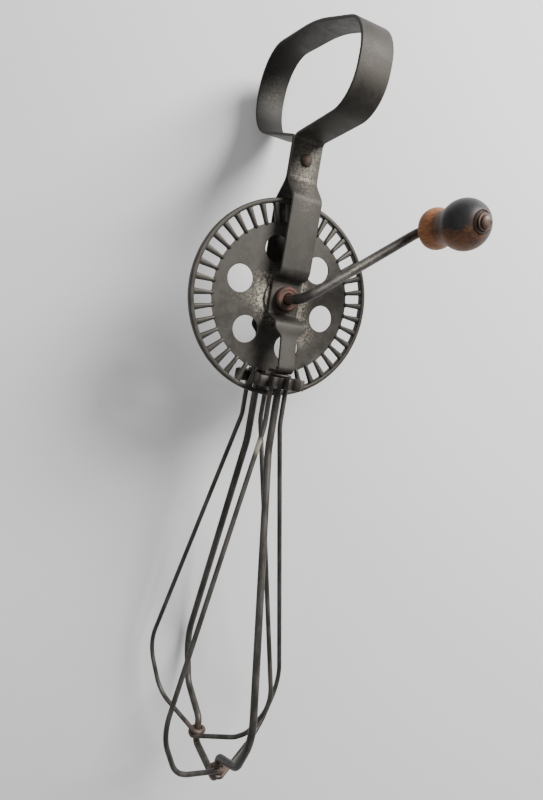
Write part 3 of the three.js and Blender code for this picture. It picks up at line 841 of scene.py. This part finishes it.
class BEATER_OT_hub(bpy.types.Operator):
    """Turns the hub's sleeve with its collar and the washers on the axles"""
    bl_idname = "beater.hub"
    bl_label = "Hub And Washers"

    def execute(self, context):
        finishes = context.scene.beater_finishes
        front, back = nearest("hub_sleeve")
        bore, neck, collar = 2.25 * MM, 3.0 * MM, 4.9 * MM
        flange = 3.3 * MM
        lip = collar - 1.1 * MM
        section = softened([
            (bore, -back), (neck, -back), (neck, flange), (collar, flange), (collar, -front - 0.7 * MM),
            (lip + 0.4 * MM, -front), (lip - 0.6 * MM, -front - 0.25 * MM), (bore, -front - 0.15 * MM)], 0.3 * MM)
        sleeve = on_axle(turned("hub_collar", section, 64))
        paint = tarnished("collar_brown", finishes, finishes.collar,
                          spots=[(HUB + Vector((0, front, 0)), 0, 6 * MM, (1, 1, 1), 0.20)], shine=0.46)
        handed(painted(smoothed(sleeve), paint), "drive", "collar_brown", "hub_sleeve")

        bright = tarnished("bright_tin", finishes, finishes.steel,
                           spots=[(HUB, 4 * MM, 14 * MM, (1, 0.3, 1), 1.0)], shine=0.34)
        dull = tarnished("washer_steel", finishes, finishes.wire, shine=0.38)
        end_place = Vector(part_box("knob_end_washer")[0])
        rusty = tarnished("rusty_washer", finishes, finishes.wire,
                          rusts=[(end_place, 12 * MM, 16 * MM, 1.0)], shine=0.5)
        rings = [
            ("front_hub_washer", "drive", 3.3, bright, False),
            ("back_hub_washer", "drive", 3.3, bright, False),
            ("rear_washer", "drive", 2.25, dull, False),
            ("knob_end_washer", "drive", 2.25, rusty, False),
            ("front_thrust_washer", "frame", 1.8, dull, True),
            ("back_thrust_washer", "frame", 1.8, dull, True),
        ]
        for node, body, hole, paint, upright in rings:
            low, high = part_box(node)
            middle = (low + high) / 2
            outer = (high.x - low.x) / 2
            thick = (high.z - low.z) if upright else (high.y - low.y)
            ring = turned(node + "_ring", ring_section(hole * MM, outer, -thick / 2, thick / 2, thick * 0.35), 56)
            ring.data.transform(Matrix.Translation(middle) @ (Matrix.Identity(4) if upright else FORWARD))
            handed(painted(smoothed(ring), paint), body, "bright_tin", node)
        return {"FINISHED"}


# ---------------------------------------------------------------- crank and knob


def wire_along(name, path, radius, material, context):
    source = object_from(name + "_line", path, [(step, step + 1) for step in range(len(path) - 1)], [])
    return grown(name, source, wire_grower(), {
        "Radius": radius, "Sides": sizes_of(context).sides, "Material": material})


def domed(name, radius, high):
    section = [(0.0, 0.0), (radius * 0.94, 0.0), (radius, high * 0.14)]
    angles = [step * math.pi / 14 for step in range(7)]
    section += [(radius * math.cos(angle), high * (0.2 + 0.8 * math.sin(angle))) for angle in angles]
    section.append((0.0, high))
    return turned(name, section, 40)


class BEATER_OT_crank(bpy.types.Operator):
    """Bends the crank's rod and heads its ends"""
    bl_idname = "beater.crank"
    bl_label = "Crank"

    def execute(self, context):
        finishes = context.scene.beater_finishes
        radius = sizes_of(context).rod_radius
        front, back = nearest("crank_rod")
        across, up = KNOB_CENTRE.x - HUB.x, KNOB_CENTRE.z - HUB.z
        head_high = 1.4 * MM
        corners = [
            Vector((0, back - head_high * 0.8, 0)),
            Vector((0, -18.5 * MM, 0)),
            Vector((across, -23.4 * MM, up)),
            Vector((across, front + head_high * 0.8, up)),
        ]
        path = [HUB + point for point in filleted(corners, [7 * MM, 4.4 * MM], 18)]
        far = HUB + Vector((across, -26 * MM, up))
        paint = tarnished(
            "rod_steel", finishes, finishes.wire,
            spots=[(HUB + Vector((across * 0.45, -20 * MM, up * 0.45)), 4 * MM, 16 * MM, (1, 1, 1), 0.35)],
            rusts=[(HUB + Vector((0, -7 * MM, 0)), 2 * MM, 9 * MM, 0.8), (far, 2 * MM, 9 * MM, 0.7),
                   (HUB + Vector((across, front, up)), 6 * MM, 10 * MM, 1.0)],
            shine=0.36)
        rod = wire_along("rod", path, radius, paint, context)
        rear = domed("rear_head", 3.3 * MM, head_high)
        rear_place = HUB + Vector((0, back - head_high, 0))
        rear.data.transform(Matrix.Translation(rear_place) @ Matrix.Rotation(-math.pi / 2, 4, "X"))
        tip = domed("tip_head", 2.4 * MM, head_high)
        tip.data.transform(Matrix.Translation(HUB + Vector((across, front + head_high, up))) @ FORWARD)
        crank = joined("crank_rod_bent", [rod, rear, tip])
        handed(painted(smoothed(crank), paint), "drive", "wire_steel", "crank_rod")
        return {"FINISHED"}


class BEATER_OT_knob(bpy.types.Operator):
    """Turns the wooden knob"""
    bl_idname = "beater.knob"
    bl_label = "Knob"

    def execute(self, context):
        sizes, finishes = context.scene.beater_knob, context.scene.beater_finishes
        collar, neck, ball, middle, tall = sizes.collar, sizes.neck, sizes.ball, sizes.ball_centre, sizes.tall
        bore = sizes_of(context).rod_radius + PLAY
        section = [(bore, 0.0), (collar - 1.8 * MM, 0.0),
                   (collar - 1.0 * MM, 0.35 * MM), (collar - 0.35 * MM, 1.1 * MM),
                   (collar - 0.05 * MM, 2.1 * MM), (collar, 3.0 * MM), (collar - 0.08 * MM, 4.0 * MM),
                   (collar - 0.4 * MM, 5.2 * MM), (collar - 0.85 * MM, 6.2 * MM), (neck + 0.12 * MM, 7.3 * MM),
                   (neck, 8.2 * MM), (neck + 0.05 * MM, 9.0 * MM)]
        first = -math.acos((neck + 0.6 * MM) / ball)
        last = math.acos(4.6 * MM / ball)
        for step in range(25):
            angle = first + (last - first) * step / 24
            section.append((ball * math.cos(angle), middle + ball * math.sin(angle)))
        end = section[-1][1]
        section += [(4.35 * MM, end + 0.12 * MM), (4.1 * MM, end - 0.15 * MM), (3.85 * MM, end + 0.2 * MM),
                    (3.55 * MM, tall), (bore + 0.25 * MM, tall), (bore, tall - 0.3 * MM)]
        knob = turned("turned_knob", section, 96)
        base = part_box("knob")[1].y
        knob.data.transform(Matrix.Translation((KNOB_CENTRE.x, base, KNOB_CENTRE.z)) @ FORWARD)
        handed(painted(smoothed(knob, math.radians(60)), knob_finish(finishes)), "knob", "knob_wood", "knob")
        return {"FINISHED"}


# ---------------------------------------------------------------- pinions and wires


def wire_finish(finishes, name, rusts, bare=()):
    return tarnished(name, finishes, finishes.wire, rusts=rusts, bare=bare, grain=(1.0, 1.0, 0.3), shine=0.34)


class BEATER_OT_pinions(bpy.types.Operator):
    """Cuts the two pinions"""
    bl_idname = "beater.pinions"
    bl_label = "Pinions"

    def execute(self, context):
        sizes, finishes = sizes_of(context), context.scene.beater_finishes
        low, high = -34.8 * MM, -30.4 * MM
        round_off = 0.4 * MM
        outlines = []
        for height, inset in [(low, round_off), (low + round_off * 0.4, round_off * 0.3), (low + round_off, 0.0),
                              (high - round_off, 0.0), (high - round_off * 0.4, round_off * 0.3), (high, round_off)]:
            root, tip, shoulder = 1.3 * MM - inset, 0.65 * MM - inset, sizes.pinion_tip - 0.5 * MM - inset
            outline = [
                (sizes.pinion_root - 1.5 * MM, -root), (sizes.pinion_root, -root), (shoulder, -tip),
                (sizes.pinion_tip - inset, -tip * 0.46), (sizes.pinion_tip - inset, tip * 0.46),
                (shoulder, tip), (sizes.pinion_root, root), (sizes.pinion_root - 1.5 * MM, root)]
            outlines.append([(along, across, height) for along, across in outline])
        grower = round_grower("toothed_ring")
        for side, sign in SIDES.items():
            place = Vector(JOINTS[side + "_dasher_turn"]["pos_m"])
            paint = tarnished(side + "_pinion_steel", finishes, finishes.steel,
                              spots=[(place, 2 * MM, 11 * MM, (1, 1, 1), 0.35)],
                              rusts=[(place, 3 * MM, 12 * MM, 0.45)],
                              # Painted shade at the roots of the teeth, where the gaps between them fall dark.
                              painted_shade=[(place, 7.0 * MM, 8.8 * MM, (1, 1, 0), 0.9)], shine=0.42)
            tooth = lofted("tooth", outlines)
            teeth = grown("teeth", tooth, grower, {"Count": PINION_TEETH, "Material": paint})
            wheel = context.scene.beater_wheel
            meshed = wheel.turn * wheel.teeth / PINION_TEETH - math.pi / 2
            teeth.data.transform(Matrix.Rotation(sign * meshed, 4, "Z"))
            hole, rim = sizes.frame_radius + PLAY, sizes.pinion_root + 0.15 * MM
            disc = turned("disc", ring_section(hole, rim, low, high, round_off), 60)
            gear = joined(side + "_pinion_cut", [teeth, disc])
            gear.data.transform(dasher_place(side))
            handed(painted(smoothed(gear), paint), side + "_dasher", "wheel_steel", side + "_pinion")
        return {"FINISHED"}


def dasher_path(context):
    """One wire down, once round its eye and up again, about an upright axis."""
    seat, low_out, low_up, wide_up = 4.6 * MM, 23.4 * MM, -186.6 * MM, WIDE_LEVEL * MM
    eye_up, eye_rise, eye = EYE_LEVEL * MM, 2.5 * MM, sizes_of(context).eye_radius
    leg = filleted([
        Vector((seat, 0, -30.7 * MM)), Vector((seat, 0, -50 * MM)), Vector((33.4 * MM, 0, wide_up)),
        Vector((low_out, 0, low_up)), Vector((0, 0, eye_up))], [18 * MM, 22 * MM, 16 * MM], 16)[:-1]

    def eased(point, side):
        near = min(max(1 - point.x / low_out, 0), 1)
        sink = near if point.z < low_up else 0
        drop = -eye * near if point.z < wide_up else 0
        return Vector((side * point.x, drop, point.z - side * sink * eye_rise / 2))

    steps = 32
    turn = []
    for step in range(steps + 1):
        angle = -math.pi / 2 + 2 * math.pi * step / steps
        turn.append(Vector((eye * math.cos(angle), eye * math.sin(angle), eye_up + eye_rise * (0.5 - step / steps))))
    return [eased(point, -1) for point in leg] + turn + [eased(point, 1) for point in reversed(leg)]


class BEATER_OT_dashers(bpy.types.Operator):
    """Bends the two dashers"""
    bl_idname = "beater.dashers"
    bl_label = "Dashers"

    def execute(self, context):
        finishes = context.scene.beater_finishes
        for side, phase in DASHER_PHASES.items():
            place = dasher_place(side)
            turned_by = place @ Matrix.Rotation(math.radians(phase), 4, "Z")
            eye = place @ Vector((0, 0, EYE_LEVEL * MM))
            # Painted highlight: a glint on the front dasher's wire, painted as a bright spot in tin's colour.
            glint = turned_by @ Vector((-6.9 * MM, 0, -58 * MM))
            paint = wire_finish(finishes, side + "_dasher_steel",
                                [(eye, 3 * MM, 9 * MM, 0.65),
                                 (turned_by @ Vector((0, 0, -33 * MM)), 4 * MM, 12 * MM, 0.5)],
                                [(glint, 1 * MM, 5 * MM, 0.9)] if side == "front" else [])
            wire = wire_along(side + "_dasher", dasher_path(context), sizes_of(context).dasher_radius, paint, context)
            wire.data.transform(turned_by)
            handed(smoothed(wire), side + "_dasher", "wire_steel", side + "_dasher_wire")
        return {"FINISHED"}


class BEATER_OT_frame_wire(bpy.types.Operator):
    """Bends the fixed wire that carries the pinions and the dashers' eyes"""
    bl_idname = "beater.frame_wire"
    bl_label = "Frame Wire"

    def execute(self, context):
        finishes = context.scene.beater_finishes
        radius = sizes_of(context).frame_radius
        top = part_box("frame_wire")[1].z
        branches = []
        eyes = []
        for side, bow, turn in [("front", 25.0, 0.0), ("back", 27.0, 2.0)]:
            place = dasher_place(side)
            sign, swing = SIDES[side], math.radians(turn)

            def at(out, up):
                return place @ Vector((-out * math.sin(swing) * MM, sign * out * math.cos(swing) * MM, up * MM))

            branches.append([
                at(0, -27.3), at(0, -60), at(bow, -164.5), at(bow * 0.66, -182), at(0, -189), at(0, -199.4)])
            eyes.append(at(0, EYE_LEVEL))
        corners = branches[0] + branches[1][::-1]
        bends = [30, 22, 9, 3.4, 3.2]
        path = filleted(corners, [bend * MM for bend in bends + bends[::-1]], 14)
        paint = wire_finish(finishes, "frame_wire_steel", [(eye, 3 * MM, 8 * MM, 0.65) for eye in eyes])
        wire = wire_along("fixed_wire", path, radius, paint, context)
        parts = [wire]
        for side in SIDES:
            place = Vector(JOINTS[side + "_dasher_turn"]["pos_m"])
            head = domed(side + "_axle_head", 2.3 * MM, 1.3 * MM)
            head.data.transform(Matrix.Translation((place.x, place.y, top - 1.3 * MM)))
            parts.append(head)
        whole = joined("frame_wire_bent", parts)
        handed(painted(smoothed(whole), paint), "frame", "wire_steel", "frame_wire")
        return {"FINISHED"}


# ---------------------------------------------------------------- stage


class BEATER_OT_stage(bpy.types.Operator):
    """Lays out the pale surface, the soft light and the camera"""
    bl_idname = "beater.stage"
    bl_label = "Stage"

    def execute(self, context):
        settings = context.scene.beater_stage
        right = Vector((0.8882, -0.429, 0.1655)).normalized()
        look = Vector((0.4472, 0.890, -0.0927))
        look = (look - right * look.dot(right)).normalized()
        up = right.cross(look)
        eye = HUB + Vector((-0.1070, -0.2190, -0.0181))
        camera = bpy.data.objects.new("camera", bpy.data.cameras.new("camera"))
        camera.data.lens = 27
        camera.data.sensor_width = 36
        camera.data.clip_start = 0.01
        camera.matrix_world = basis(right, up, -look, eye)
        context.scene.collection.objects.link(camera)
        context.scene.camera = camera

        facing = (-look - up * 0.0655).normalized()
        across = up.cross(facing).normalized()
        length_way = facing.cross(across)
        reach = 1.5
        centre = HUB - facing * deepest(-facing)
        corners = [centre + across * a + length_way * b for a, b in oblong(reach, reach)]
        floor = object_from("surface", corners, [], [(0, 1, 2, 3)])
        painted(floor, surface_finish(settings))
        floor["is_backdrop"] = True

        def soft_light(name, place, size, power, colour):
            light = bpy.data.lights.new(name, "AREA")
            light.shape = "DISK"
            light.size = size
            light.energy = power
            light.color = colour
            lamp = bpy.data.objects.new(name, light)
            context.scene.collection.objects.link(lamp)
            lamp.matrix_world = basis(*square_to(place - centre), place)

        soft_light("key", centre + right * 0.62 + up * 0.40 - look * 0.52, 0.46, settings.key, (1.0, 0.99, 0.975))
        soft_light("fill", centre - right * 0.7 - up * 0.1 - look * 0.75, 0.9, settings.key * 0.06, (0.97, 0.985, 1.0))
        world = bpy.data.worlds.new("pale")
        world.use_nodes = True
        backdrop = world.node_tree.nodes["Background"]
        backdrop.inputs["Color"].default_value = (0.93, 0.94, 0.96, 1.0)
        backdrop.inputs["Strength"].default_value = settings.sky
        context.scene.world = world
        return {"FINISHED"}


def deepest(direction):
    """How far the object reaches past the hub along a direction."""
    reach = 0.0
    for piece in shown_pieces():
        for vertex in piece.data.vertices:
            reach = max(reach, (vertex.co - HUB).dot(direction))
    return reach + 0.5 * MM


def square_to(facing):
    facing = facing.normalized()
    side = Vector((0, 0, 1)).cross(facing).normalized()
    return side, facing.cross(side), facing


def basis(right, up, back, place):
    return Matrix.Translation(place) @ Matrix((right, up, back)).transposed().to_4x4()


# ---------------------------------------------------------------- add-on


OPERATORS = (
    BEATER_OT_strap,
    BEATER_OT_wheel,
    BEATER_OT_hub,
    BEATER_OT_crank,
    BEATER_OT_knob,
    BEATER_OT_pinions,
    BEATER_OT_dashers,
    BEATER_OT_frame_wire,
    BEATER_OT_stage,
)
GROUPS = {
    "beater_strap": BeaterStrapSizes,
    "beater_wheel": BeaterWheelSizes,
    "beater_wires": BeaterWireSizes,
    "beater_knob": BeaterKnobSizes,
    "beater_finishes": BeaterFinishes,
    "beater_stage": BeaterStageSettings,
}


class BEATER_PT_sidebar(bpy.types.Panel):
    """Lists what builds the egg beater"""
    bl_idname = "BEATER_PT_sidebar"
    bl_label = "Egg Beater"
    bl_space_type = "VIEW_3D"
    bl_region_type = "UI"
    bl_category = "Egg Beater"

    def draw(self, context):
        for operator in OPERATORS:
            self.layout.operator(operator.bl_idname)
        for group, kind in GROUPS.items():
            box = self.layout.box()
            box.label(text=group.replace("_", " ").title())
            for field in kind.__annotations__:
                box.prop(getattr(context.scene, group), field)


def register():
    for group, kind in GROUPS.items():
        bpy.utils.register_class(kind)
        setattr(bpy.types.Scene, group, bpy.props.PointerProperty(type=kind))
    for operator in OPERATORS:
        bpy.utils.register_class(operator)
    bpy.utils.register_class(BEATER_PT_sidebar)


def unregister():
    bpy.utils.unregister_class(BEATER_PT_sidebar)
    for operator in reversed(OPERATORS):
        bpy.utils.unregister_class(operator)
    for group, kind in reversed(list(GROUPS.items())):
        delattr(bpy.types.Scene, group)
        bpy.utils.unregister_class(kind)


def main():
    register()
    for operator in OPERATORS:
        space, action = operator.bl_idname.split(".")
        getattr(getattr(bpy.ops, space), action)()


if __name__ == "__main__":
    main()
